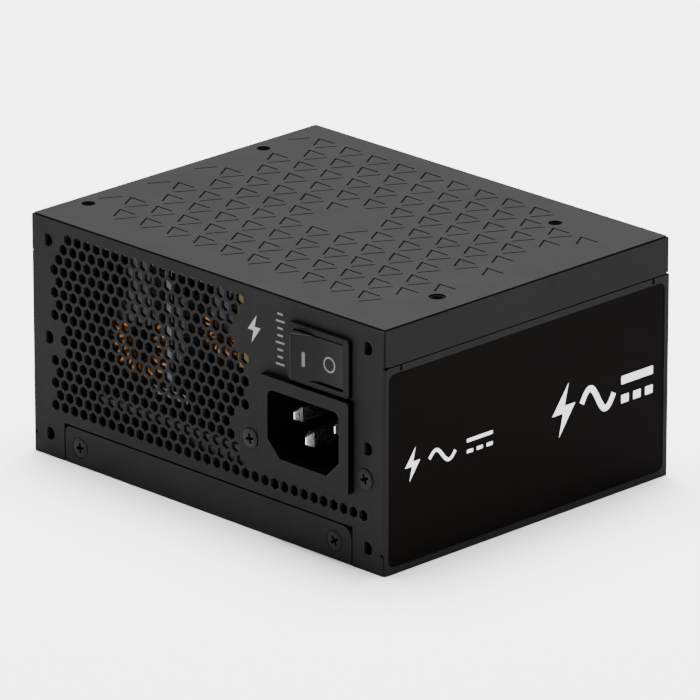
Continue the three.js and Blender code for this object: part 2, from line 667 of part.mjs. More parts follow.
// A cable along a smooth route
function cable(points, radius) {
  const route = new THREE.CatmullRomCurve3(points.map((point) => new THREE.Vector3(...point)));
  const section = new THREE.Shape();
  section.absarc(0, 0, radius, 0, 2 * HALF_TURN);
  return toSolid(new THREE.ExtrudeGeometry(section, {
    steps: 16, curveSegments: 4, bevelEnabled: false, extrudePath: route,
  }));
}

// ---- Boards and what stands on them; the parts hang from the main board's underside ----

const UNDER = BOARD_Z - 0.02;

function mainBoard() {
  const edge = 60.3;
  const rear = 6;
  const behindSwitch = 22.5;
  const front = 91;
  const step = 19;
  const outline = outlineOf([
    [-edge, rear], [step, rear], [step, behindSwitch], [edge, behindSwitch], [edge, front], [-edge, front],
  ]);
  const board = toSolid(plate(outline, BOARD_Z, BOARD_Z + BOARD - 0.02));
  const fanHeader = box(50.5, 57.5, 74, 80, BOARD_Z - 7, BOARD_Z + 0.5);
  const holes = STANDOFFS.map(([x, y]) => rod("z", SCREW_HOLE_R, BOARD_Z - 1, BOARD_Z + 3, x, y, SMALL_CIRCLE));
  return cut(join(board, fanHeader), ...holes);
}

function boardScrew([x, y]) {
  return join(
    rod("z", 2.8, BOARD_Z - 2, BOARD_Z - 0.1, x, y, SMALL_CIRCLE),
    rod("z", SHANK_R, BOARD_Z - 1, CASE_H - 2.5, x, y, SMALL_CIRCLE),
  );
}

function insulationSheet() {
  const top = CASE_H - SHEET - 0.2;
  const holes = STANDOFFS.map(([x, y]) => rod("z", STANDOFF_R + 0.4, top - 2, top + 1, x, y, SMALL_CIRCLE));
  return cut(box(-55, 59, 8, 84, top - 0.4, top), ...holes);
}

// An upright toroid whose axis runs along Y: its core with a foot up to the board, and its wound shell
const CHOKES = {
  pfc: { x: -36, y: 14.5, z: 33, r: 8, tube: 2.6, winding: 3.9, foot: 4 },
  line: { x: -5.5, y: 13, z: 43.5, r: 5.4, tube: 1.7, winding: 2.8, foot: 3 },
};

function toroid({ x, y, z, r }, tube, sides) {
  const profile = Array.from({ length: 7 }, (_, index) => {
    const angle = -(index + 0.5) * HALF_TURN / 3;
    return new THREE.Vector2(r + tube * Math.cos(angle), tube * Math.sin(angle));
  });
  return toSolid(new THREE.LatheGeometry(profile.reverse(), sides).translate(x, y, z));
}

// The gap in the winding that the core's foot passes through
function footBlock({ x, y, z, r, tube, foot }, gap) {
  return box(x - foot - gap, x + foot + gap, y - tube - gap, y + tube + gap, z + r * 0.6, UNDER + gap);
}

function chokeCore(choke) {
  return join(toroid(choke, choke.tube, SMALL_CIRCLE), footBlock(choke, 0));
}

function chokeWinding(choke) {
  const wide = choke.foot + 0.6;
  const gap = box(choke.x - wide, choke.x + wide, choke.y - 20, choke.y + 20, choke.z + 1, UNDER + 9);
  return cut(toroid(choke, choke.winding, SMALL_CIRCLE), toroid(choke, choke.tube + 0.35, SMALL_CIRCLE), gap);
}

// Transformer: an E-E core and a winding round its middle leg
const TRANSFORMER = { x: 6, y: 55, halfW: 17, halfD: 6, z0: 24, leg: 4.5, windowOuter: 13 };

function transformerCore() {
  const { x, y, halfW, halfD, z0, leg, windowOuter } = TRANSFORMER;
  const yoke = 5;
  const window = (side) => box(
    Math.min(x + side * leg, x + side * windowOuter), Math.max(x + side * leg, x + side * windowOuter),
    y - 20, y + 20, z0 + yoke, UNDER - yoke,
  );
  return cut(box(x - halfW, x + halfW, y - halfD, y + halfD, z0, UNDER), window(-1), window(1));
}

function transformerWinding() {
  const { x, y, halfD, z0, leg, windowOuter } = TRANSFORMER;
  const gap = 0.4;
  const z1 = UNDER - 5 - gap;
  const half = windowOuter - gap;
  const outer = toSolid(plate(roundedRect(x - half, x + half, y - 12, y + 12, 4), z0 + 5 + gap, z1));
  return cut(outer, box(x - leg - gap, x + leg + gap, y - halfD - gap, y + halfD + gap, z0, z1 + 1));
}

// An upright can, hanging from the board
function capacitor(x, y, r, length) {
  const z1 = UNDER;
  const z0 = z1 - length;
  return turned([[0, z0], [r - 0.8, z0], [r, z0 + 0.8], [r, z1], [0, z1]], x, y);
}

// A plate with fins along one side
function heatsink(x, side, y0, y1, z0, fins) {
  const thick = 2.4;
  const reach = 5;
  const bodyOf = box(x - thick / 2, x + thick / 2, y0, y1, z0, UNDER);
  const pitch = (y1 - y0 - 2) / (fins - 1);
  const fin = (index) => {
    const y = y0 + 1 + index * pitch;
    return box(Math.min(x, x + side * reach), Math.max(x, x + side * reach), y - 0.6, y + 0.6, z0, z0 + 16);
  };
  return join(bodyOf, ...Array.from({ length: fins }, (_, index) => fin(index)));
}

// The bridge rectifier's sink: an upright plate with a foot, seen from the rear as an upturned T
function bridgeSink() {
  return join(box(-22.3, -20, 8, 20, 22.5, UNDER), box(-28, -14.5, 8, 20, 22.5, 24.8));
}

function modularBoard() {
  return box(-58, 47, 87, 88.6, 21, 54.5);
}

function socket({ x, row, columns }) {
  const half = socketWidth(columns) / 2;
  const z = SOCKET_ROW_Z[row];
  const front = CASE_D + SOCKET_PROUD;
  const shellOf = box(x - half, x + half, 88.9, front, z - SOCKET_H / 2, z + SOCKET_H / 2);
  const wellW = half - 0.7;
  const wellH = SOCKET_H / 2 - 0.7;
  const well = box(x - wellW, x + wellW, 91.5, front + 1, z - wellH, z + wellH);
  const keyRoom = box(x - 2.2, x + 2.2, 94, front + 1, z + wellH - 0.1, z + SOCKET_H / 2 + 0.01);
  return cut(shellOf, well, keyRoom);
}

function busbar() {
  return join(box(49, 50.5, 60, 88.6, 44, 52), box(49, 50.5, 62, 72, 50, UNDER));
}

// ---- Assembly ----

add("base_shell", baseShell(), darkPaint);
add("fan_cover", fanCover(), darkPaint);
FLAP_SCREW_X.forEach((x, index) => {
  const side = ["left", "right"][index];
  add(`cover_screw_rear_${side}`, coverScrew(x, 0, 1), steel);
  add(`cover_screw_front_${side}`, coverScrew(x, CASE_D, -1), steel);
});

function labelOn(side) {
  const inner = HALF_W - LABEL_POCKET + 0.02;
  const gap = 0.1;
  const outline = roundedRect(LABEL.y0 + gap, LABEL.y1 - gap, LABEL.z0 + gap, LABEL.z1 - gap, LABEL.corner);
  const faces = [side * inner, side * (inner + LABEL.thick)].sort((a, b) => a - b);
  return sideWall(outline, ...faces);
}
add("side_label_right", labelOn(1), labelFilm);
add("side_label_left", labelOn(-1), labelFilm);

add("inlet_housing", inletHousing(), glossPlastic);
INLET_PINS.forEach((pin) => add(pin.name, pinBox(pin, pin.tip, PIN.back, 0), steel));
INLET_SCREW.x.forEach((x, index) => {
  add(`inlet_screw_${["left", "right"][index]}`, panelScrew(x, INLET_SCREW.z), steel);
});
add("switch_housing", switchHousing(), glossPlastic);
add("switch_rocker", switchRocker(), glossPlastic);

add("fan_frame", fanFrame(), blackPlastic);
add("fan_rotor", fanRotor(), blackPlastic);
add("fan_shaft", rod("z", SHAFT_R, HUB_Z + 0.2, FAN_TOP - 1.6, 0, FAN_Y), steel);
add("fan_bearing", cut(
  rod("z", BEARING_R, HUB_Z + 2.6, FAN_TOP - 1.1, 0, FAN_Y),
  rod("z", BEARING_BORE_R, HUB_Z, FAN_TOP - 1.4, 0, FAN_Y),
), brass);
add("fan_stator", fanStator(), copper);
add("fan_magnet_ring", cut(
  rod("z", HUB_R - 1.8, HUB_Z + 2, HUB_TOP - 0.5, 0, FAN_Y),
  rod("z", HUB_R - 3.2, HUB_Z, HUB_TOP, 0, FAN_Y),
), ferrite);
add("fan_guard", fanGuard(), steel);
FAN_SCREWS.forEach((place, index) => add(`fan_screw_${index + 1}`, fanScrew(place), steel));
add("fan_cable", cable([
  [46.4, 88, 14], [50, 88, 14.5], [54.5, 86, 20], [55.5, 82, 32], [54.5, 78, 42], [54, 77, 49.6],
], 1.2), blackSleeve);

add("main_board", mainBoard(), boardGreen);
STANDOFFS.forEach((place, index) => add(`board_screw_${index + 1}`, boardScrew(place), steel));
add("insulation_sheet", insulationSheet(), yellowFilm);
add("transformer_core", transformerCore(), ferrite);
add("transformer_winding", transformerWinding(), yellowFilm);
add("pfc_choke_core", chokeCore(CHOKES.pfc), ferrite);
add("pfc_choke_winding", chokeWinding(CHOKES.pfc), copper);
add("line_choke_core", chokeCore(CHOKES.line), ferrite);
add("line_choke_winding", chokeWinding(CHOKES.line), copper);
add("bulk_capacitor", capacitor(-40, 68, 12.5, 34), blackSleeve);
[46, 60, 74].forEach((y, index) => add(`output_capacitor_${index + 1}`, capacitor(39, y, 5, 22), blackSleeve));
add("primary_heatsink", heatsink(-19, -1, 28, 52, 24, 6), aluminium);
add("secondary_heatsink", heatsink(29, -1, 36, 82, 24, 9), aluminium);
add("bridge_heatsink", bridgeSink(), aluminium);
add("bridge_rectifier", box(-19.7, -15.9, 8.5, 19.5, 32, 50), blackPlastic);
add("line_capacitor", box(5, 17, 6.5, 20, 38, UNDER), yellowFilm);
add("relay", box(32, 51, 26.5, 40, 41, UNDER), blackPlastic);
add("control_board", box(-10, 22, 33, 34.4, 30, UNDER), boardGreen);
add("standby_transformer", box(-57, -41, 29, 46, 38, UNDER), yellowFilm);
add("modular_board", modularBoard(), boardGreen);
SOCKETS.forEach((place) => add(place.name, socket(place), blackPlastic));
add("busbar", busbar(), copper);

export default group;
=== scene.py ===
"""Looks of a small power supply unit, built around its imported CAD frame."""

import json
import math

import bmesh
import bpy
from mathutils import Matrix, Vector


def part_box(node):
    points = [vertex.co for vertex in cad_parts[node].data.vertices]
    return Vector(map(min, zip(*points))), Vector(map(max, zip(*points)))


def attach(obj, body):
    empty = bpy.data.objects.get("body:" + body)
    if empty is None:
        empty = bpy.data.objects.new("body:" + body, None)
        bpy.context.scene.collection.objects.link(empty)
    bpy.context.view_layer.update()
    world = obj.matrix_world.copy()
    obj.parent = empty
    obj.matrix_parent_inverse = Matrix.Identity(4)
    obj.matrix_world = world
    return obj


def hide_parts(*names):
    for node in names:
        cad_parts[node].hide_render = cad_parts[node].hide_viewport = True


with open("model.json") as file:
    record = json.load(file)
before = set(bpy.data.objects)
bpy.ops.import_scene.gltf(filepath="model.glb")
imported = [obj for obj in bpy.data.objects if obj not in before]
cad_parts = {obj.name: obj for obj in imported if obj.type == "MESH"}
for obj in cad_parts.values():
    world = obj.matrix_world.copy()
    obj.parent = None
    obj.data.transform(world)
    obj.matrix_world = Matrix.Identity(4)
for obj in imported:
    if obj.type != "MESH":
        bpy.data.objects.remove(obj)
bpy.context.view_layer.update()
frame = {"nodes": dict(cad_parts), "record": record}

MM = 0.001
CHASSIS = "chassis"
FAN = "fan"
ROCKER = "rocker"
CASE_LO, CASE_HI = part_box("base_shell")
CASE_W = (CASE_HI.x - CASE_LO.x) / MM
CASE_D = (CASE_HI.y - CASE_LO.y) / MM
CASE_H = (CASE_HI.z - CASE_LO.z) / MM


def place(x, y, z):
    """A point of the case: x from its middle, y in from its rear panel, z up, in millimetres."""
    return Vector((x * MM, CASE_LO.y + y * MM, z * MM))


def middle(node):
    low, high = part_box(node)
    return (low + high) / 2


# ---- Camera and light ----

# The view was fitted with the case's height left free, which came out 0.9% taller than the case is.
# So the top edges sit slightly low in it.
AZIMUTH = 45.18
ELEVATION = 19.78
DISTANCE = 2.028
LENS = 416.8
SHIFT = (0.00143, -0.00929)


def direction(azimuth, elevation):
    a = math.radians(azimuth)
    e = math.radians(elevation)
    return Vector((math.sin(a) * math.cos(e), -math.cos(a) * math.cos(e), math.sin(e)))


def make_camera():
    data = bpy.data.cameras.new("camera")
    data.lens = LENS
    data.shift_x, data.shift_y = SHIFT
    data.clip_start = 0.1
    data.clip_end = 50
    camera = bpy.data.objects.new("camera", data)
    bpy.context.collection.objects.link(camera)
    camera.location = (CASE_LO + CASE_HI) / 2 + DISTANCE * direction(AZIMUTH, ELEVATION)
    camera.rotation_euler = (math.radians(90 - ELEVATION), 0, math.radians(AZIMUTH))
    bpy.context.scene.camera = camera


def area_light(name, azimuth, elevation, distance, size, power):
    data = bpy.data.lights.new(name, "AREA")
    data.shape = "RECTANGLE"
    data.size, data.size_y = size
    data.energy = power
    light = bpy.data.objects.new(name, data)
    bpy.context.collection.objects.link(light)
    towards = direction(azimuth, elevation)
    light.location = (CASE_LO + CASE_HI) / 2 + distance * towards
    light.rotation_euler = (-towards).to_track_quat("-Z", "Y").to_euler()


def make_light():
    world = bpy.data.worlds.new("studio")
    world.use_nodes = True
    background = world.node_tree.nodes["Background"]
    background.inputs["Color"].default_value = (1, 1, 1, 1)
    background.inputs["Strength"].default_value = WORLD_STRENGTH
    bpy.context.scene.world = world
    area_light("overhead", 225, 79, 1.6, (1.1, 1.1), OVERHEAD_POWER)
    area_light("backlight", 225, 24, 3, (3.6, 1.8), BACK_POWER)
    area_light("rear_left", -18, 28, 1.3, (0.8, 0.6), REAR_POWER)
    area_light("side_right", 100, 22, 1.3, (0.6, 0.5), SIDE_POWER)


WORLD_STRENGTH = 0.38
OVERHEAD_POWER = 208
BACK_POWER = 0.5
REAR_POWER = 0.6
SIDE_POWER = 0.05


# ---- Materials ----

def new_material(name):
    material = bpy.data.materials.new(name)
    material.use_nodes = True
    return material, material.node_tree, material.node_tree.nodes["Principled BSDF"]


def add_node(tree, kind, **inputs):
    node = tree.nodes.new(kind)
    for key, value in inputs.items():
        node.inputs[key].default_value = value
    return node


def noise(tree, scale, detail=3):
    """Noise in the object's own space, with features of about one over scale, in metres."""
    coordinates = tree.nodes.new("ShaderNodeTexCoord")
    texture = add_node(tree, "ShaderNodeTexNoise", Scale=scale, Detail=detail)
    tree.links.new(coordinates.outputs["Object"], texture.inputs["Vector"])
    return texture.outputs["Fac"]


def spread(tree, value, low, high):
    """Maps noise, which mostly lies between 0.3 and 0.7, onto low to high."""
    ranged = add_node(tree, "ShaderNodeMapRange")
    for key, number in {"From Min": 0.3, "From Max": 0.7, "To Min": low, "To Max": high}.items():
        ranged.inputs[key].default_value = number
    tree.links.new(value, ranged.inputs["Value"])
    return ranged.outputs["Result"]


def shades(tree, value, dark, light):
    ramp = tree.nodes.new("ShaderNodeValToRGB")
    ramp.color_ramp.elements[0].position = 0.3
    ramp.color_ramp.elements[1].position = 0.7
    ramp.color_ramp.elements[0].color = (*dark, 1)
    ramp.color_ramp.elements[1].color = (*light, 1)
    tree.links.new(value, ramp.inputs["Fac"])
    return ramp.outputs["Color"]


ROUGH_SPREAD = 0.06


def surface(name, color, rough, metal=0.0, mottle=0.08, mottle_scale=90, grain=0.2, grain_scale=3000,
            grain_depth=0.02, coat=0.0, spec=0.5):
    """A finish with slight colour and gloss variation and a fine grain raised by grain_depth millimetres."""
    material, tree, shader = new_material(name)
    shader.inputs["Metallic"].default_value = metal
    shader.inputs["Coat Weight"].default_value = coat
    shader.inputs["Specular IOR Level"].default_value = spec
    broad = noise(tree, mottle_scale, 5)
    dark = [channel * (1 - mottle) for channel in color]
    light = [min(channel * (1 + mottle), 1) for channel in color]
    tree.links.new(shades(tree, broad, dark, light), shader.inputs["Base Color"])
    fine = noise(tree, grain_scale, 2)
    smoothest = max(rough - ROUGH_SPREAD, 0.02)
    roughest = min(rough + ROUGH_SPREAD, 1)
    tree.links.new(spread(tree, fine, smoothest, roughest), shader.inputs["Roughness"])
    bump = add_node(tree, "ShaderNodeBump", Strength=grain, Distance=grain_depth * MM)
    tree.links.new(fine, bump.inputs["Height"])
    tree.links.new(bump.outputs["Normal"], shader.inputs["Normal"])
    return material


PAINT = surface(
    "case_paint", (0.0088, 0.0088, 0.0089), 0.7, grain=0.5, grain_scale=2600, grain_depth=0.03, spec=0.05,
)
# Painted shade: a near-black that stands in for the shade in the seam round the top cap, in its engraved
# grooves and in the screws' cross recesses.
SEAM_SHADE_PAINT = surface("seam_painted_shade", (0.002, 0.002, 0.002), 0.9, spec=0.03)
LABEL = surface("label_film", (0.0014, 0.0006, 0.0006), 0.6, mottle=0.05, grain=0.1, spec=0.015)
PRINT_WHITE = surface("print_white", (0.85, 0.85, 0.85), 0.55, mottle=0.02)
PRINT_GREY = surface("print_grey", (0.2, 0.2, 0.2), 0.6, mottle=0.04)
SCREW = surface("screw_black", (0.007, 0.007, 0.007), 0.5, metal=0.2, grain=0.15, spec=0.07)
INLET = surface(
    "inlet_plastic", (0.0055, 0.0055, 0.0055), 0.6, grain=0.5, grain_scale=2200, grain_depth=0.04, spec=0.05,
)
SWITCH = surface("switch_plastic", (0.0055, 0.0055, 0.0055), 0.55, grain=0.3, spec=0.04)
ROCKER_GLOSS = surface("rocker_plastic", (0.0045, 0.0045, 0.0045), 0.38, grain=0.1, spec=0.055)
PIN = surface("pin_metal", (0.55, 0.55, 0.53), 0.3, metal=1, mottle=0.05, grain=0.1)
FAN_PLASTIC = surface("fan_plastic", (0.015, 0.015, 0.016), 0.5, grain=0.4, spec=0.35)
STEEL = surface("steel", (0.5, 0.5, 0.5), 0.35, metal=1)
BRASS = surface("brass", (0.7, 0.5, 0.24), 0.4, metal=1)
COPPER = surface("copper", (0.42, 0.17, 0.045), 0.4, metal=1, mottle=0.2, mottle_scale=400, coat=0.4)
FERRITE = surface("ferrite", (0.05, 0.05, 0.055), 0.7)
WIRE = surface("guard_wire", (0.018, 0.018, 0.018), 0.4, grain=0.2, coat=0.2)
SLEEVE = surface("cable_sleeve", (0.015, 0.015, 0.015), 0.6, grain=0.4)
BOARD = surface("circuit_board", (0.015, 0.06, 0.025), 0.35, mottle=0.3, mottle_scale=500, coat=0.3)
FILM = surface("insulation_film", (0.12, 0.085, 0.02), 0.5, mottle=0.1)
TAPE = surface("winding_tape", (0.2, 0.13, 0.015), 0.5, mottle=0.12, mottle_scale=300)
CAN = surface("capacitor_sleeve", (0.02, 0.022, 0.035), 0.3, coat=0.3)
ALUMINIUM = surface("aluminium", (0.14, 0.14, 0.145), 0.5, metal=1, mottle=0.1, mottle_scale=200)
EPOXY = surface("component_plastic", (0.02, 0.02, 0.02), 0.55)
NYLON = surface("socket_plastic", (0.014, 0.014, 0.014), 0.48, grain=0.4, spec=0.35)

SLOT_MATERIALS = {
    "case_paint": PAINT, "label_film": LABEL, "screw_black": SCREW, "inlet_plastic": INLET,
    "switch_plastic": SWITCH, "rocker_plastic": ROCKER_GLOSS, "pin_metal": PIN, "fan_plastic": FAN_PLASTIC,
    "steel": STEEL, "brass": BRASS, "copper": COPPER, "ferrite": FERRITE, "guard_wire": WIRE,
    "cable_sleeve": SLEEVE, "circuit_board": BOARD, "insulation_film": FILM, "winding_tape": TAPE,
    "capacitor_sleeve": CAN, "aluminium": ALUMINIUM, "component_plastic": EPOXY, "socket_plastic": NYLON,
}


# ---- CAD nodes: real finishes and small rounded edges ----

def add_modifier(obj, kind, **settings):
    modifier = obj.modifiers.new(kind.lower(), kind)
    for key, value in settings.items():
        setattr(modifier, key, value)
    return modifier


def round_edges(obj, width, segments=2):
    add_modifier(obj, "WELD", merge_threshold=1e-6)
    add_modifier(obj, "DECIMATE", decimate_type="DISSOLVE", angle_limit=math.radians(0.5))
    add_modifier(
        obj, "BEVEL", width=width * MM, segments=segments, limit_method="ANGLE",
        angle_limit=math.radians(35), use_clamp_overlap=True, harden_normals=False,
    )
    for polygon in obj.data.polygons:
        polygon.use_smooth = True
    add_modifier(obj, "WEIGHTED_NORMAL", keep_sharp=False, weight=80)


EDGE_WIDTHS = {
    "base_shell": 0.12, "fan_cover": 0.15, "inlet_housing": 0.3, "switch_housing": 0.25, "switch_rocker": 0.3,
    "fan_frame": 0.3, "fan_rotor": 0.25, "side_label_right": 0.03, "side_label_left": 0.03,
    "insulation_sheet": 0.05, "control_board": 0.1, "main_board": 0.1, "modular_board": 0.1,
}
DEFAULT_EDGE = 0.15


def dress_nodes():
    slots = {part["node"]: part["material_slot"] for part in frame["record"]["subparts"]}
    for name, obj in frame["nodes"].items():
        obj.data.materials.clear()
        obj.data.materials.append(SLOT_MATERIALS[slots[name]])
        round_edges(obj, EDGE_WIDTHS.get(name, DEFAULT_EDGE))


# ---- Helpers for new pieces ----

def link(name, data, material, body, slot=None, *replaced):
    obj = bpy.data.objects.new(name, data)
    bpy.context.collection.objects.link(obj)
    data.materials.append(material)
    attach(obj, body)
    if replaced:
        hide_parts(*replaced)
    return obj


def join_meshes(meshes):
    builder = bmesh.new()
    for mesh in meshes:
        builder.from_mesh(mesh)
        bpy.data.meshes.remove(mesh)
    whole = bpy.data.meshes.new("joined")
    builder.to_mesh(whole)
    builder.free()
    return whole


def smooth(mesh, angle=35):
    for polygon in mesh.polygons:
        polygon.use_smooth = True
    mesh.set_sharp_from_angle(angle=math.radians(angle))


def curve_to_mesh(curve):
    holder = bpy.data.objects.new("holder", curve)
    bpy.context.collection.objects.link(holder)
    mesh = bpy.data.meshes.new_from_object(holder.evaluated_get(bpy.context.evaluated_depsgraph_get()))
    mesh.transform(Matrix.Scale(MM, 4))
    bpy.data.objects.remove(holder)
    bpy.data.curves.remove(curve)
    return mesh


def add_loop(curve, points, cyclic=True):
    """Adds a closed or open line to a curve that is drawn in millimetres."""
    spline = curve.splines.new("POLY")
    spline.points.add(len(points) - 1)
    for target, point in zip(spline.points, points):
        target.co = (*point, *([0] * (3 - len(point))), 1)
    spline.use_cyclic_u = cyclic


FILL_TURN = 0.37


def filled(loops, thick, bevel=0.0):
    """A flat plate from outlines in millimetres, holes included, whose outer face is at +thick.

    The outlines are turned a little while they are filled, since the filling errs on points that lie in rows.
    """
    curve = bpy.data.curves.new("outline", "CURVE")
    curve.dimensions = "2D"
    curve.fill_mode = "BOTH"
    curve.extrude = thick / 2 - bevel
    curve.bevel_depth = bevel
    curve.bevel_resolution = 1
    curve.offset = -bevel
    turn = Matrix.Rotation(FILL_TURN, 2)
    for points in loops:
        add_loop(curve, [turn @ Vector(point) for point in points])
    mesh = curve_to_mesh(curve)
    mesh.transform(Matrix.Rotation(-FILL_TURN, 4, "Z"))
    mesh.transform(Matrix.Translation((0, 0, thick / 2 * MM)))
    builder = bmesh.new()
    builder.from_mesh(mesh)
    bmesh.ops.remove_doubles(builder, verts=builder.verts, dist=1e-6)
    bmesh.ops.recalc_face_normals(builder, faces=builder.faces)
    builder.to_mesh(mesh)
    builder.free()
    mesh.materials.clear()
    smooth(mesh, 20)
    return mesh


def wires(routes, radius, cyclic=False, sides=2):
    """Round wires along lists of points in millimetres."""
    curve = bpy.data.curves.new("wire", "CURVE")
    curve.dimensions = "3D"
    curve.bevel_depth = radius
    curve.bevel_resolution = sides
    curve.use_fill_caps = True
    for points in routes:
        add_loop(curve, points, cyclic)
    mesh = curve_to_mesh(curve)
    mesh.materials.clear()
    smooth(mesh, 60)
    return mesh


def frame_of(origin, across, up):
    """The matrix that lays a flat plate's x along across, its y along up and its outer face outwards."""
    outwards = across.cross(up)
    matrix = Matrix((across, up, outwards)).transposed().to_4x4()
    matrix.translation = origin
    return matrix


X, Y, Z = Vector((1, 0, 0)), Vector((0, 1, 0)), Vector((0, 0, 1))


def on_rear(x, z, out=0):
    return frame_of(place(x, -out, z), X, Z)


def on_front(x, z, out=0):
    return frame_of(place(x, CASE_D + out, z), -X, Z)


def on_right(y, z, out=0):
    point = place(CASE_W / 2 + out, y, z)
    return frame_of(point, Y, Z)


def on_left(y, z, out=0):
    return frame_of(place(-CASE_W / 2 - out, y, z), -Y, Z)


def on_top(x, y, z):
    return frame_of(place(x, y, z), X, Y)


def arc(cx, cy, r, start, end, steps):
    """Points along an arc, in degrees."""
    angles = [math.radians(start + (end - start) * step / steps) for step in range(steps + 1)]
    return [(cx + r * math.cos(angle), cy + r * math.sin(angle)) for angle in angles]


def ring(cx, cy, r, steps=32):
    return arc(cx, cy, r, 0, 360, steps)[:-1]


def rounded(x0, x1, y0, y1, r, steps=5):
    return (arc(x1 - r, y0 + r, r, -90, 0, steps) + arc(x1 - r, y1 - r, r, 0, 90, steps)
            + arc(x0 + r, y1 - r, r, 90, 180, steps) + arc(x0 + r, y0 + r, r, 180, 270, steps))


def stroke(points, width):
    """The outline of a pen stroke along two or three points, mitred at the corner."""
    vectors = [Vector(point) for point in points]
    sides = ([], [])
    for index, point in enumerate(vectors):
        before = (point - vectors[index - 1]).normalized() if index else None
        after = (vectors[index + 1] - point).normalized() if index < len(vectors) - 1 else None
        along = ((before or after) + (after or before)).normalized()
        normal = Vector((-along.y, along.x))
        stretch = width / 2 / (normal.dot(Vector((-(after or before).y, (after or before).x))))
        sides[0].append(tuple(point + normal * stretch))
        sides[1].append(tuple(point - normal * stretch))
    return sides[0] + sides[1][::-1]


# ---- Top plate ----

CAP_THICK = 0.4
CAP_INSET = 0.5
GLYPH_PITCH = 9.6
GLYPH_ROW = GLYPH_PITCH * math.sqrt(3) / 2
GLYPH_SIDE = 8.0
GLYPH_WIDTH = 0.44
STROKE_REACH = 5.4
TOP_HOLES = [(-57.5, 76.3, 1.65), (-57.1, 14.6, 1.65), (35.8, 86.8, 1.65), (53.8, 26.7, 2.0)]
TOP_ROWS = 10
TOP_COLUMNS = 12
FIRST_ROW_Y = 91.9


def glyph_strokes(x, y):
    """An upturned triangle in two open strokes: a chevron at its upper left corner, a bar at its right."""
    slope = Vector((0.5, -math.sqrt(3) / 2))
    corner = Vector((x, y))
    chevron = [corner + Vector((STROKE_REACH, 0)), corner, corner + slope * STROKE_REACH]
    right = corner + Vector((GLYPH_SIDE, 0))
    back = Vector((-slope.x, slope.y))
    bar = [right + back * 1.2, right + back * 7.1]
    return chevron, bar


def clear_of_holes(points):
    middle_point = sum(points, Vector((0, 0))) / len(points)
    near_hole = any((middle_point - Vector((x, y))).length < 5.2 for x, y, _ in TOP_HOLES)
    in_middle = abs(middle_point.x + 4) < 7.5 and abs(middle_point.y - 51) < 7
    return not near_hole and not in_middle


def top_outlines():
    loops = []
    for row in range(TOP_ROWS):
        y = FIRST_ROW_Y - row * GLYPH_ROW
        start = -CASE_W / 2 + (row % 2) * GLYPH_PITCH / 2
        for column in range(TOP_COLUMNS):
            chevron, bar = glyph_strokes(start + column * GLYPH_PITCH, y)
            first = column == 0
            last = column == TOP_COLUMNS - 1
            if not first and not (last and row % 3 == 0) and clear_of_holes(chevron):
                loops.append(stroke(chevron, GLYPH_WIDTH))
            if not last and not (first and row % 2) and clear_of_holes(bar):
                loops.append(stroke(bar, GLYPH_WIDTH))
    return loops


def make_top_cap():
    half_w = CASE_W / 2 - CAP_INSET
    outline = rounded(-half_w, half_w, CAP_INSET, CASE_D - CAP_INSET, 0.4)
    holes = [ring(x, y, r + 0.1, 24) for x, y, r in TOP_HOLES]
    mesh = filled([outline, *top_outlines(), *holes], CAP_THICK, 0.07)
    mesh.transform(on_top(0, 0, CASE_H - CAP_THICK))
    cap = link("top_cap", mesh, PAINT, CHASSIS, "case_paint", "base_shell")
    # The cap's side and under faces get the painted shade, for the dark shadow line round its edge.
    mesh.materials.append(SEAM_SHADE_PAINT)
    for polygon in mesh.polygons:
        polygon.material_index = 1 if abs(polygon.normal.z) < 0.3 or polygon.normal.z < 0 else 0
    return cap


def hidden_cutter(name, mesh, material):
    mesh.materials.append(material)
    cutter = bpy.data.objects.new(name, mesh)
    bpy.context.collection.objects.link(cutter)
    return cutter


def make_case():
    """The base shell with its top face lowered, under the cap that bears the engraving; the cut face is
    painted black as shade, which shows in the grooves and in the seam round the cap.
    """
    source = frame["nodes"]["base_shell"]
    mesh = source.data.copy()
    mesh.materials.clear()
    shell = link("case_shell", mesh, PAINT, CHASSIS, "case_paint", "base_shell")
    mesh.materials.append(SEAM_SHADE_PAINT)
    reach = CASE_W
    planer_mesh = filled([[(-reach, -reach), (reach, -reach), (reach, reach), (-reach, reach)]], 5)
    planer_mesh.transform(on_top(0, CASE_D / 2, CASE_H - CAP_THICK))
    planer = hidden_cutter("planer", planer_mesh, SEAM_SHADE_PAINT)
    add_modifier(shell, "WELD", merge_threshold=1e-6)
    # The cut faces take the planer's material, the painted shade.
    add_modifier(
        shell, "BOOLEAN", operation="DIFFERENCE", object=planer, solver="EXACT", material_mode="TRANSFER",
    )
    bake_modifiers(shell)
    bpy.data.objects.remove(planer)
    round_edges(shell, 0.12)
    return shell


def bake_modifiers(obj):
    """Applies the modifiers to the mesh, so that nothing depends on a helper object any more."""
    graph = bpy.context.evaluated_depsgraph_get()
    mesh = bpy.data.meshes.new_from_object(obj.evaluated_get(graph), depsgraph=graph)
    obj.modifiers.clear()
    obj.data = mesh


# ---- Screws ----

CROSS_REACH = 1.35
CROSS_HALF = 0.34


def cross(reach, half):
    corners = [(reach, half), (half, half), (half, reach)]
    turned = []
    for quarter in range(4):
        angle = math.radians(90 * quarter)
        for x, y in corners:
            c, s = math.cos(angle), math.sin(angle)
            turned.append((x * c - y * s, x * s + y * c))
    return turned


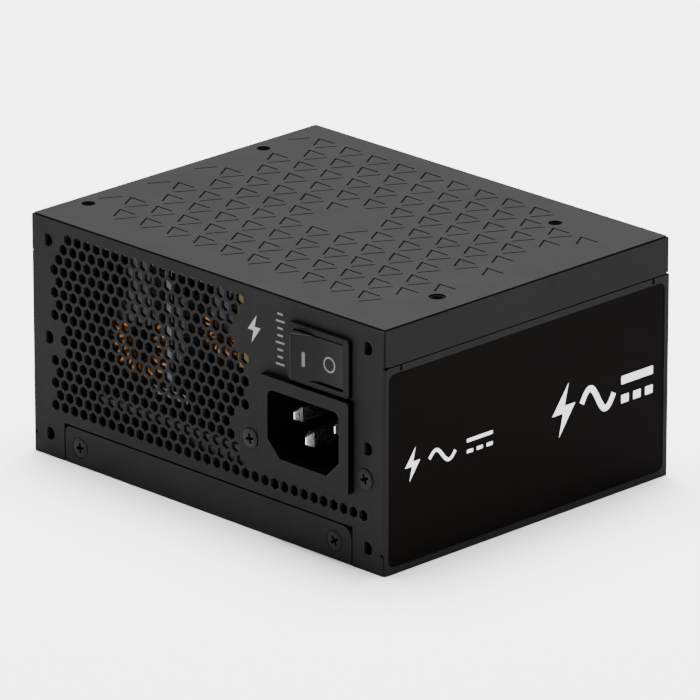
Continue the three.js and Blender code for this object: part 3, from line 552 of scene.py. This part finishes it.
def cross_screw(name, node, matrix, radius, thick, shank, length, reach=CROSS_REACH):
    """Replaces a CAD screw by one with a domed rim, a cross recess and its shank."""
    outer = filled([ring(0, 0, radius, 40), ring(0, 0, radius - 0.5, 40)], thick, min(0.2, thick / 3))
    crown = filled([ring(0, 0, radius - 0.45, 40), cross(reach, CROSS_HALF)], thick, 0.06)
    floor = filled([ring(0, 0, radius - 0.45, 24)], 0.1)
    stem = wires([[(0, 0, -length), (0, 0, 0.1)]], shank, sides=4)
    for mesh, lift in ((outer, -thick), (crown, 0.03 - thick), (floor, -thick), (stem, -thick)):
        mesh.transform(Matrix.Translation((0, 0, lift * MM)))
    floor_from = len(outer.polygons) + len(crown.polygons)
    floor_to = floor_from + len(floor.polygons)
    mesh = join_meshes([outer, crown, floor, stem])
    mesh.transform(matrix)
    smooth(mesh)
    screw = link(name, mesh, SCREW, CHASSIS, "screw_black", node)
    # The recess floor gets the painted shade, black for the shade deep in the cross recess.
    mesh.materials.append(SEAM_SHADE_PAINT)
    for index in range(floor_from, floor_to):
        mesh.polygons[index].material_index = 1
    return screw


def turned_on_axis(matrix, degrees):
    return matrix @ Matrix.Rotation(math.radians(degrees), 4, "Z")


def make_screws():
    for number, side in enumerate(("left", "right")):
        node = f"cover_screw_rear_{side}"
        spot = middle(node) / MM
        cross_screw(
            f"flap_screw_rear_{side}", node, turned_on_axis(on_rear(spot.x, spot.z), 8 + 25 * number),
            2.55, 0.75, 1.25, 3.2,
        )
        node = f"cover_screw_front_{side}"
        spot = middle(node) / MM
        cross_screw(
            f"flap_screw_front_{side}", node, turned_on_axis(on_front(spot.x, spot.z, 0), 30 - 50 * number),
            2.55, 0.75, 1.25, 3.2,
        )
        node = f"inlet_screw_{side}"
        spot = middle(node) / MM
        cross_screw(
            f"inlet_panel_screw_{side}", node, turned_on_axis(on_rear(spot.x, spot.z, 0.38), 12 + 9 * number),
            2.55, 0.42, 1.25, 8.6,
        )
    for number in range(1, 5):
        node = f"fan_screw_{number}"
        low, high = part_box(node)
        spot = middle(node)
        point = place(spot.x / MM, (spot.y - CASE_LO.y) / MM, low.z / MM)
        cross_screw(
            f"fan_cross_screw_{number}", node, turned_on_axis(frame_of(point, -X, Y), 20 * number),
            2.95, 0.75, 1.95, (high.z - low.z) / MM - 0.1, 1.7,
        )


# ---- Mains inlet ----

# Painted shade: a near-black put on the bezels' side faces and inside the inlet's mouth and the switch's
# rocker opening, where shade falls.
MOUTH_SHADE_PAINT = surface("mouth_painted_shade", (0.0008, 0.0008, 0.0008), 0.8, grain=0.2, spec=0.02)
TIP_DEPTH = 2.0
TIP_HALF_W = 0.18
TIP_HALF_H = 0.95
PIN_EDGE = 0.1
BEZEL_EDGE = 0.15
FACE_SKIN = 0.3
INLET_MARGIN = 2.4
SIDE_SLOPE = 0.3


def refined_copy(name, node, material, body, slot, dark, is_dark):
    """A copy of a CAD node that replaces it, with the faces that is_dark picks out in the dark material, which
    is painted shade.
    """
    mesh = frame["nodes"][node].data.copy()
    mesh.materials.clear()
    piece = link(name, mesh, material, body, slot, node)
    mesh.materials.append(dark)
    for polygon in mesh.polygons:
        polygon.material_index = 1 if is_dark(polygon) else 0
    return piece


def make_inlet():
    low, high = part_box("inlet_housing")
    mid = (low + high) / 2
    margin = INLET_MARGIN * MM
    face = low.y + FACE_SKIN * MM

    # Painted shade: the bezel's side faces and the faces of its mouth deeper than FACE_SKIN behind its front.
    def painted_shade_faces(polygon):
        across = abs(polygon.center.x - mid.x) < (high.x - low.x) / 2 - margin
        upright = abs(polygon.center.z - mid.z) < (high.z - low.z) / 2 - margin
        side = abs(polygon.normal.y) < SIDE_SLOPE
        return side or (across and upright and polygon.center.y > face)

    piece = refined_copy("inlet_body", "inlet_housing", INLET, CHASSIS, "inlet_plastic", MOUTH_SHADE_PAINT, painted_shade_faces)
    round_edges(piece, BEZEL_EDGE, 2)


def pin_mesh(low, high):
    """A blade with a tapered tip at its rear end."""
    mid = (low + high) / 2
    half_w = (high.x - low.x) / 2
    half_h = (high.z - low.z) / 2
    sections = [
        (low.y, TIP_HALF_W * MM, TIP_HALF_H * MM),
        (low.y + TIP_DEPTH * MM, half_w, half_h),
        (high.y, half_w, half_h),
    ]
    builder = bmesh.new()
    rings = []
    for y, w, h in sections:
        corners = [(-w, -h), (w, -h), (w, h), (-w, h)]
        rings.append([builder.verts.new((mid.x + a, y, mid.z + b)) for a, b in corners])
    builder.faces.new(rings[0])
    builder.faces.new(rings[-1][::-1])
    for near, far in zip(rings, rings[1:]):
        for index in range(4):
            after = (index + 1) % 4
            builder.faces.new((near[after], near[index], far[index], far[after]))
    mesh = bpy.data.meshes.new("pin")
    builder.to_mesh(mesh)
    builder.free()
    return mesh


def make_pins():
    for pole in ("live", "neutral", "earth"):
        low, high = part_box(f"inlet_pin_{pole}")
        pin = link(f"pin_{pole}", pin_mesh(low, high), PIN, CHASSIS, "pin_metal", f"inlet_pin_{pole}")
        add_modifier(
            pin, "BEVEL", width=PIN_EDGE * MM, segments=2, limit_method="ANGLE", angle_limit=math.radians(25),
        )
        smooth(pin.data, 20)


# ---- Switch ----

V_X, V_OUT = 41.229, 0.866
LEFT_TURN = math.radians(22)
MARK_Z = 50.45
ROCKER_ROOM_X = 8.7
ROCKER_ROOM_Z = 6.2
MARK_MATERIAL = surface("rocker_mark", (0.055, 0.055, 0.055), 0.5, mottle=0.03, grain=0.1)


def rocker_left(reach, z):
    """A frame on the raised half of the rocker, reach millimetres from its middle line."""
    across = Vector((math.cos(LEFT_TURN), math.sin(LEFT_TURN), 0))
    origin = place(V_X, -V_OUT, z) - across * reach * MM
    return frame_of(origin, across, Z)


def make_rocker_marks():
    bar = filled([rounded(-0.42, 0.42, -1.87, 1.87, 0.1, 3)], 0.08)
    bar.transform(rocker_left(4.4, MARK_Z) @ Matrix.Translation((0, 0, -0.04 * MM)))
    link("rocker_mark_on", bar, MARK_MATERIAL, ROCKER, "rocker_plastic")
    loop = filled([ring(0, 0, 2.02, 48), ring(0, 0, 1.6, 48)], 0.08)
    loop.transform(on_rear(V_X + 3.25, MARK_Z, V_OUT - 0.04))
    link("rocker_mark_off", loop, MARK_MATERIAL, ROCKER, "rocker_plastic")


def make_switch():
    low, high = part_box("switch_housing")
    mid = (low + high) / 2
    face = low.y + FACE_SKIN * MM

    # Painted shade: the bezel's side faces and the faces round the rocker deeper than FACE_SKIN behind its
    # front.
    def painted_shade_faces(polygon):
        across = abs(polygon.center.x - mid.x) < ROCKER_ROOM_X * MM
        upright = abs(polygon.center.z - mid.z) < ROCKER_ROOM_Z * MM
        side = abs(polygon.normal.y) < SIDE_SLOPE
        return side or (across and upright and polygon.center.y > face)

    piece = refined_copy(
        "switch_body", "switch_housing", SWITCH, CHASSIS, "switch_plastic", MOUTH_SHADE_PAINT, painted_shade_faces,
    )
    round_edges(piece, BEZEL_EDGE, 2)
    make_rocker_marks()


# ---- Printed marks: plain symbols only ----

PRINT_THICK = 0.06


def bolt(x, y, size):
    """A lightning bolt, size tall, about a middle point."""
    outline = [(0.12, 0.5), (-0.3, -0.06), (-0.02, -0.06), (-0.12, -0.5), (0.3, 0.08), (0.02, 0.08)]
    return [(x + a * size, y + b * size) for a, b in outline]


def sine(x0, x1, y, height, width, waves=1, steps=24):
    """The outline of a thick sine wave."""
    upper, lower = [], []
    for step in range(steps * waves + 1):
        share = step / steps
        angle = 2 * math.pi * share
        x = x0 + (x1 - x0) * share / waves
        slope = math.cos(angle) * height / 2 * 2 * math.pi * waves / (x1 - x0)
        length = math.hypot(1, slope)
        offset = (-slope / length * width / 2, width / 2 / length)
        centre = y + math.sin(angle) * height / 2
        upper.append((x + offset[0], centre + offset[1]))
        lower.append((x - offset[0], centre - offset[1]))
    return upper + lower[::-1]


def bar(x0, x1, y0, y1, r=0.15):
    return rounded(x0, x1, y0, y1, r, 2)


def direct_current(x0, x1, y0, y1, thick):
    """The direct current sign: a bar over three dashes."""
    gap = (x1 - x0) * 0.14
    dash = (x1 - x0 - 2 * gap) / 3
    dashes = [bar(x0 + k * (dash + gap), x0 + k * (dash + gap) + dash, y0, y0 + thick) for k in range(3)]
    return [bar(x0, x1, y1 - thick, y1), *dashes]


def label_marks():
    """In millimetres along the label from the rear, and up: a small row of signs, then a large one."""
    small = [
        bolt(9.7, 26.8, 8.6), sine(15.5, 24.5, 26.6, 3.6, 0.95), *direct_current(28.5, 37.5, 24.6, 28.4, 0.95),
    ]
    large = [bolt(62.6, 27, 13.6), sine(69, 80.5, 27, 6.6, 1.7), *direct_current(83.2, 94.6, 23.4, 30.6, 2.2)]
    return small + large


def make_label_prints():
    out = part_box("side_label_right")[1].x / MM - CASE_W / 2 - PRINT_THICK / 2
    for name, matrix in (("right", on_right(0, 0, out)), ("left", on_left(CASE_D, 0, out))):
        mesh = filled(label_marks(), PRINT_THICK)
        mesh.transform(matrix)
        link(f"label_print_{name}", mesh, PRINT_WHITE, CHASSIS, "label_film")


def make_rear_prints():
    """Two sets of generic signs on the rear panel: a bolt, and a column of dashes."""
    sign = filled([bolt(17.5, 52.7, 7.4)], PRINT_THICK)
    sign.transform(on_rear(0, 0, -PRINT_THICK / 2))
    link("rear_sign", sign, PRINT_GREY, CHASSIS, "case_paint")
    loops = []
    for step in range(8):
        z = 45.6 + step * 1.85
        long = 3.0 if step % 3 == 0 else 1.9
        loops.append(bar(26.6 - long / 2, 26.6 + long / 2, z, z + 0.5, 0.1))
    mesh = filled(loops, PRINT_THICK)
    mesh.transform(on_rear(0, 0, -PRINT_THICK / 2))
    link("rear_dashes", mesh, MARK_MATERIAL, CHASSIS, "case_paint")


# ---- Fan, seen through the underside ----

FAN_Y = CASE_D / 2
GUARD_RADII = [9, 17.5, 26, 34.5, 43.2]
GUARD_WIRE = 0.68
GUARD_Z = 0.9
FAN_SCREW_REACH = 41.25
EYELET_R = 3.1
SPOKE_Z = GUARD_Z + 0.8


def circle_3d(x, y, z, r, steps):
    return [(a, b, z) for a, b in ring(x, y, r, steps)]


def make_guard():
    circles = [circle_3d(0, FAN_Y, GUARD_Z, r, 72) for r in GUARD_RADII]
    rings = wires(circles, GUARD_WIRE, cyclic=True, sides=3)
    spots = [(a * FAN_SCREW_REACH, FAN_Y + b * FAN_SCREW_REACH) for a in (-1, 1) for b in (-1, 1)]
    loops = [circle_3d(x, y, SPOKE_Z, EYELET_R, 28) for x, y in spots]
    eyelets = wires(loops, GUARD_WIRE, cyclic=True, sides=3)
    spokes = []
    for x, y in spots:
        away = Vector((x, y - FAN_Y)).normalized()
        start = away * GUARD_RADII[0]
        end = away * (math.hypot(x, y - FAN_Y) - EYELET_R)
        spokes.append([(start.x, FAN_Y + start.y, SPOKE_Z), (end.x, FAN_Y + end.y, SPOKE_Z)])
    mesh = join_meshes([rings, eyelets, wires(spokes, GUARD_WIRE, sides=3)])
    mesh.transform(on_top(0, 0, 0))
    smooth(mesh, 60)
    link("wire_guard", mesh, WIRE, CHASSIS, "guard_wire", "fan_guard")


def lathe(profile, steps):
    """A closed body of revolution about Z, from radius and height pairs in millimetres."""
    builder = bmesh.new()
    columns = []
    for step in range(steps):
        angle = 2 * math.pi * step / steps
        columns.append([builder.verts.new((r * MM * math.cos(angle), r * MM * math.sin(angle), z * MM))
                        for r, z in profile])
    count = len(profile)
    for step in range(steps):
        near, far = columns[step], columns[(step + 1) % steps]
        for index in range(count):
            after = (index + 1) % count
            builder.faces.new((near[index], far[index], far[after], near[after]))
    bmesh.ops.recalc_face_normals(builder, faces=builder.faces)
    mesh = bpy.data.meshes.new("lathe")
    builder.to_mesh(mesh)
    builder.free()
    return mesh


HUB_R = 18.5
HUB_Z = 4.7
HUB_TOP = 15.9
BLADES = 9
BLADE_MIDDLE = (HUB_Z + HUB_TOP) / 2
BLADE_STATIONS = [(17.7, 0.85, 0, 12), (27, 0.68, 0.1, 16), (35, 0.54, 0.24, 20), (43.1, 0.44, 0.4, 23)]
BLADE_RISE_LIMIT = 5.1
RADIAL_STEPS = 12
CHORD_STEPS = 8


def between(stations, radius):
    """The pitch, sweep and chord at a radius, from the stations on either side of it."""
    for low, high in zip(stations, stations[1:]):
        if radius <= high[0]:
            share = (radius - low[0]) / (high[0] - low[0])
            return [a + (b - a) * share for a, b in zip(low[1:], high[1:])]
    return stations[-1][1:]


def blade_points(turn, side):
    """A grid of points over one face of a cambered blade; side is +1 or -1."""
    rows = []
    for step in range(RADIAL_STEPS + 1):
        radius = BLADE_STATIONS[0][0] + (BLADE_STATIONS[-1][0] - BLADE_STATIONS[0][0]) * step / RADIAL_STEPS
        pitch, sweep, chord = between(BLADE_STATIONS, radius)
        rise = min(math.sin(pitch) * chord / 2, BLADE_RISE_LIMIT)
        half_angle = math.cos(pitch) * chord / 2 / radius
        row = []
        for place_on_chord in range(CHORD_STEPS + 1):
            s = 2 * place_on_chord / CHORD_STEPS - 1
            angle = turn + sweep + s * half_angle
            thick = 0.58 * (1 - 0.72 * s * s)
            z = BLADE_MIDDLE + s * rise + 0.35 * (1 - s * s) + side * thick
            row.append((radius * MM * math.cos(angle), radius * MM * math.sin(angle), z * MM))
        rows.append(row)
    return rows


def blade_mesh(turn):
    builder = bmesh.new()
    faces = []
    for side in (1, -1):
        grid = [[builder.verts.new(point) for point in row] for row in blade_points(turn, side)]
        faces.append(grid)
        for near, far in zip(grid, grid[1:]):
            for index in range(CHORD_STEPS):
                builder.faces.new((near[index], near[index + 1], far[index + 1], far[index]))
    upper, lower = faces
    for column in (0, CHORD_STEPS):
        for index in range(RADIAL_STEPS):
            builder.faces.new((upper[index][column], upper[index + 1][column],
                               lower[index + 1][column], lower[index][column]))
    for row in (0, RADIAL_STEPS):
        for index in range(CHORD_STEPS):
            builder.faces.new((upper[row][index], upper[row][index + 1],
                               lower[row][index + 1], lower[row][index]))
    bmesh.ops.recalc_face_normals(builder, faces=builder.faces)
    mesh = bpy.data.meshes.new("blade")
    builder.to_mesh(mesh)
    builder.free()
    return mesh


def make_rotor():
    hub = lathe([
        (1.8, HUB_Z + 0.3), (14, HUB_Z + 0.3), (14.3, HUB_Z), (HUB_R - 1.1, HUB_Z),
        (HUB_R - 0.45, HUB_Z + 0.15),
        (HUB_R - 0.1, HUB_Z + 0.5), (HUB_R, HUB_Z + 1), (HUB_R, HUB_TOP), (HUB_R - 1.5, HUB_TOP),
        (HUB_R - 1.5, HUB_Z + 1.5), (1.8, HUB_Z + 1.5),
    ], 72)
    mesh = join_meshes([hub, *[blade_mesh(2 * math.pi * index / BLADES) for index in range(BLADES)]])
    mesh.transform(on_top(0, FAN_Y, 0))
    smooth(mesh, 40)
    link("fan_impeller", mesh, FAN_PLASTIC, FAN, "fan_plastic", "fan_rotor")
    sticker = filled([ring(0, 0, 13.4, 64), ring(0, 0, 2.2, 24)], 0.1)
    sticker.transform(frame_of(place(0, FAN_Y, HUB_Z + 0.3), -X, Y))
    link("hub_sticker", sticker, LABEL, FAN, "label_film")


# ---- Wound chokes ----

CHOKES = {
    "pfc_choke": {
        "x": -36, "y": 14.5, "z": 33, "r": 8, "winding": 3.85, "wire": 0.62, "turns": 17, "gap": 50,
    },
    "line_choke": {
        "x": -5.5, "y": 13, "z": 43.5, "r": 5.4, "winding": 2.75, "wire": 0.42, "turns": 16, "gap": 52,
    },
}


def winding_route(choke):
    """A helix round a toroid whose axis runs along Y, open at the top."""
    steps_per_turn = 18
    around = choke["winding"] - choke["wire"]
    steps = choke["turns"] * steps_per_turn
    start = math.radians(90 + choke["gap"])
    sweep = math.radians(360 - 2 * choke["gap"])
    points = []
    for step in range(steps + 1):
        share = step / steps
        phi = start + sweep * share
        theta = 2 * math.pi * choke["turns"] * share
        reach = choke["r"] + around * math.cos(theta)
        points.append((
            choke["x"] + reach * math.cos(phi),
            choke["y"] + around * math.sin(theta),
            choke["z"] + reach * math.sin(phi),
        ))
    return points


def make_windings():
    for name, choke in CHOKES.items():
        mesh = wires([winding_route(choke)], choke["wire"], sides=1)
        mesh.transform(on_top(0, 0, 0))
        link(f"{name}_wire", mesh, COPPER, CHASSIS, "copper", f"{name}_winding")


# ---- Output sockets ----

CELL_PITCH = 4.2
CELL = 3.5
CELL_DROP = 0.8
GRID_DEEP = 7.2
POST = 1.05


def cell_outline(x, z, shaped):
    half = CELL / 2
    if not shaped:
        return rounded(x - half, x + half, z - half, z + half, 0.15, 1)
    cut_off = 1.0
    return [(x - half, z - half), (x + half, z - half), (x + half, z + half - cut_off),
            (x + half - cut_off, z + half), (x - half + cut_off, z + half), (x - half, z + half - cut_off)]


def make_sockets():
    post_meshes = []
    for node in sorted(name for name in frame["nodes"] if name.startswith("socket_")):
        low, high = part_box(node)
        mid = (low + high) / 2
        columns = round(((high.x - low.x) / MM - 1.6) / CELL_PITCH)
        well_w = (high.x - low.x) / MM / 2 - 0.72
        well_h = (high.z - low.z) / MM / 2 - 0.72
        outlines = [rounded(-well_w, well_w, -well_h, well_h, 0.1, 1)]
        posts = []
        for column in range(columns):
            for row in (-1, 1):
                x = (column - (columns - 1) / 2) * CELL_PITCH
                z = row * (well_h - CELL / 2 - 0.22)
                outlines.append(cell_outline(x, z, (column + (row > 0)) % 2 == 0))
                posts.append(rounded(x - POST / 2, x + POST / 2, z - POST / 2, z + POST / 2, 0.2, 1))
        front = (high.y - CASE_LO.y) / MM
        grid = filled(outlines, GRID_DEEP)
        grid.transform(frame_of(place(mid.x / MM, front - CELL_DROP - GRID_DEEP, mid.z / MM), -X, Z))
        link(f"{node}_cells", grid, NYLON, CHASSIS, "socket_plastic")
        metal = filled(posts, 6.6, 0.15)
        metal.transform(frame_of(place(mid.x / MM, front - CELL_DROP - GRID_DEEP - 1.5, mid.z / MM), -X, Z))
        post_meshes.append(metal)
    link("socket_posts", join_meshes(post_meshes), BRASS, CHASSIS, "brass")


# ---- Fan cable ----

CABLE_POINTS = [
    (46.4, 88, 14), (50, 88, 14.5), (54.5, 86, 20), (55.5, 82, 32), (54.5, 78, 42), (54, 77, 49.6),
]


def flowing(points, steps=10):
    """A smooth route through points, by Catmull and Rom's rule."""
    vectors = [Vector(point) for point in points]
    padded = [2 * vectors[0] - vectors[1], *vectors, 2 * vectors[-1] - vectors[-2]]
    route = []
    for a, b, c, d in zip(padded, padded[1:], padded[2:], padded[3:]):
        for step in range(steps):
            t = step / steps
            route.append(tuple(0.5 * (2 * b + (c - a) * t + (2 * a - 5 * b + 4 * c - d) * t * t
                                      + (3 * b - a - 3 * c + d) * t ** 3)))
    route.append(tuple(vectors[-1]))
    return route


def make_fan_cable():
    route = flowing(CABLE_POINTS)
    offsets = [(0, 0), (0.62, 0.3), (-0.62, 0.3)]
    cores = [[(x + a, y + b, z) for x, y, z in route] for a, b in offsets]
    mesh = wires(cores, 0.55, sides=2)
    mesh.transform(on_top(0, 0, 0))
    link("fan_leads", mesh, SLEEVE, CHASSIS, "cable_sleeve", "fan_cable")


def make_floor():
    mesh = bpy.data.meshes.new("floor")
    builder = bmesh.new()
    bmesh.ops.create_grid(builder, x_segments=1, y_segments=1, size=8)
    builder.to_mesh(mesh)
    builder.free()
    floor = bpy.data.objects.new("floor", mesh)
    bpy.context.collection.objects.link(floor)
    mesh.materials.append(surface("floor_paper", (0.74, 0.74, 0.74), 0.9, mottle=0.005, grain=0, spec=0.0))


make_camera()
make_light()
make_floor()
dress_nodes()
make_case()
make_top_cap()
make_screws()
make_inlet()
make_pins()
make_switch()
make_label_prints()
make_rear_prints()
make_guard()
make_rotor()
make_windings()
make_sockets()
make_fan_cable()
